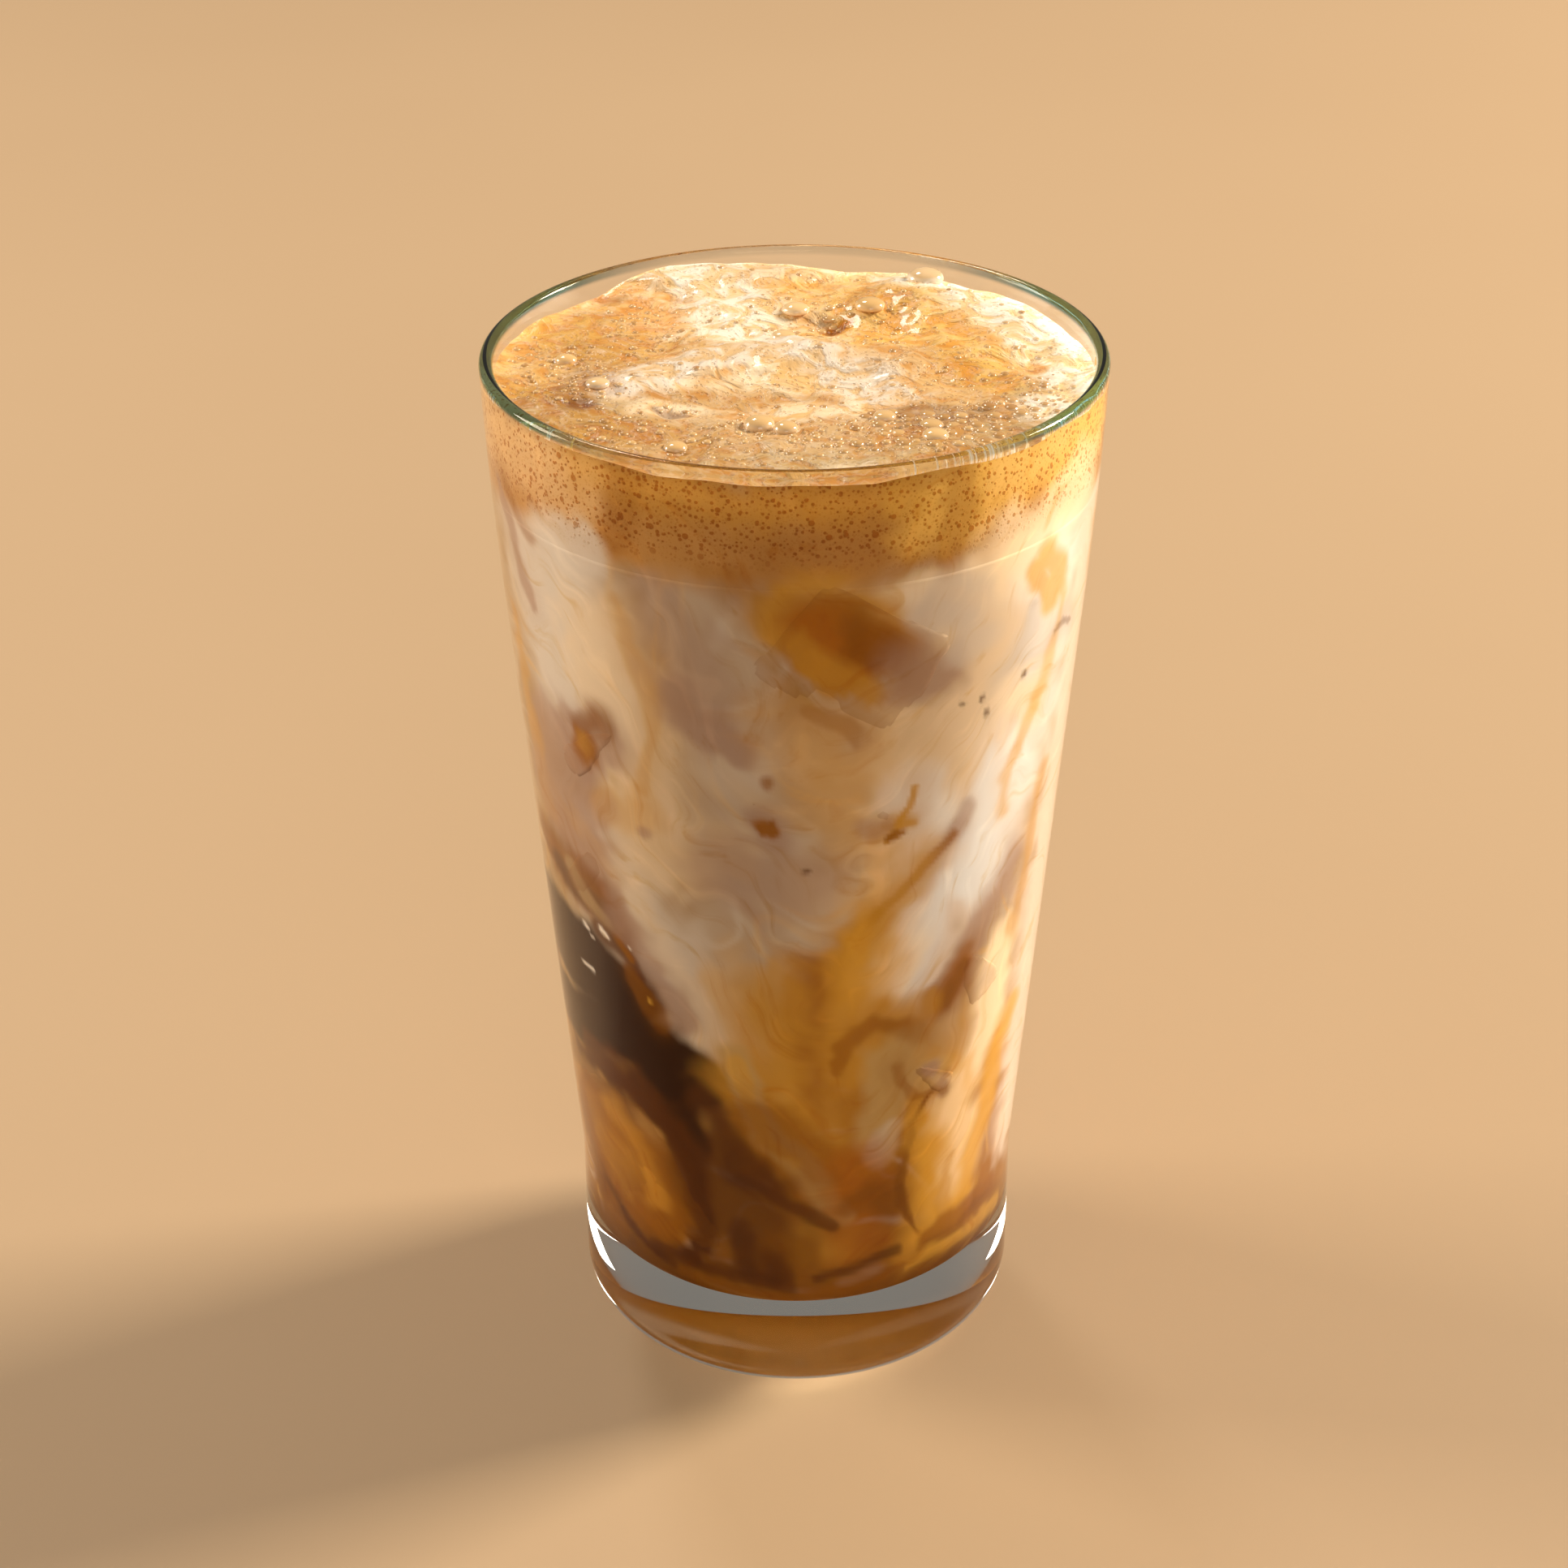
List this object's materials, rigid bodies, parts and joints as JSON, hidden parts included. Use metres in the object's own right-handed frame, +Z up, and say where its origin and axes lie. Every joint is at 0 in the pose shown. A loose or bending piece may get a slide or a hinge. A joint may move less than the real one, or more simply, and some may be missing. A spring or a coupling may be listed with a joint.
{
  "type": "iced shaken espresso in a glass",
  "caption": "Tall tapered drinking glass with a thick base, filled with a swirled iced milk coffee under a bubbly foam head.",
  "frame": {"origin": "centre of the glass's foot, on the surface that it stands on", "axes": "+Z up along the glass's axis, -Y towards the viewer of the picture, +X to the viewer's right"},
  "size_m": [0.083, 0.083, 0.15],
  "materials": {
    "clear_glass": "polished clear soda-lime glass with a faint green edge",
    "milky_coffee": "wet opaque milk coffee with dark espresso and pale milk swirls",
    "coffee_foam": "wet coffee foam full of small bubbles"
  },
  "bodies": {
    "root": {"glass": "clear_glass", "drink": "milky_coffee", "foam": "coffee_foam"}
  },
  "joints": []
}
